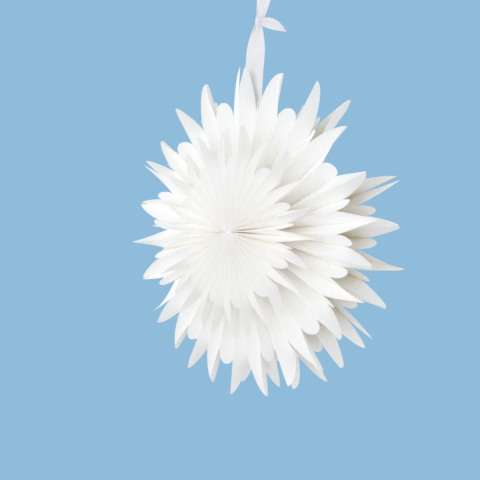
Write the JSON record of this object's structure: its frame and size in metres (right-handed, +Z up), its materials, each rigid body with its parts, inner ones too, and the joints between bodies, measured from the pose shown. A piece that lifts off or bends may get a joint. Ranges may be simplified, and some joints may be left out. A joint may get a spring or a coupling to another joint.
{
  "type": "paper snowflake ornament",
  "caption": "Hanging ornament of pleated white paper rosettes, cut along the edge into long petals and short lobes, on a tied white satin ribbon.",
  "frame": {"origin": "centre of the box round the three paper rosettes, on their common axis to within a millimetre", "axes": "+Z up, towards the ribbon's loop; the rosettes' common axis is Y, and their front faces -Y; +X is to the right seen from the front"},
  "size_m": [0.2896, 0.0696, 0.3725],
  "materials": {
    "paper": "matt, uncoated",
    "ribbon": "satin"
  },
  "bodies": {
    "root": {"front_rosette": "paper", "middle_rosette": "paper", "back_rosette": "paper", "hanging_ribbon": "ribbon"}
  },
  "joints": []
}
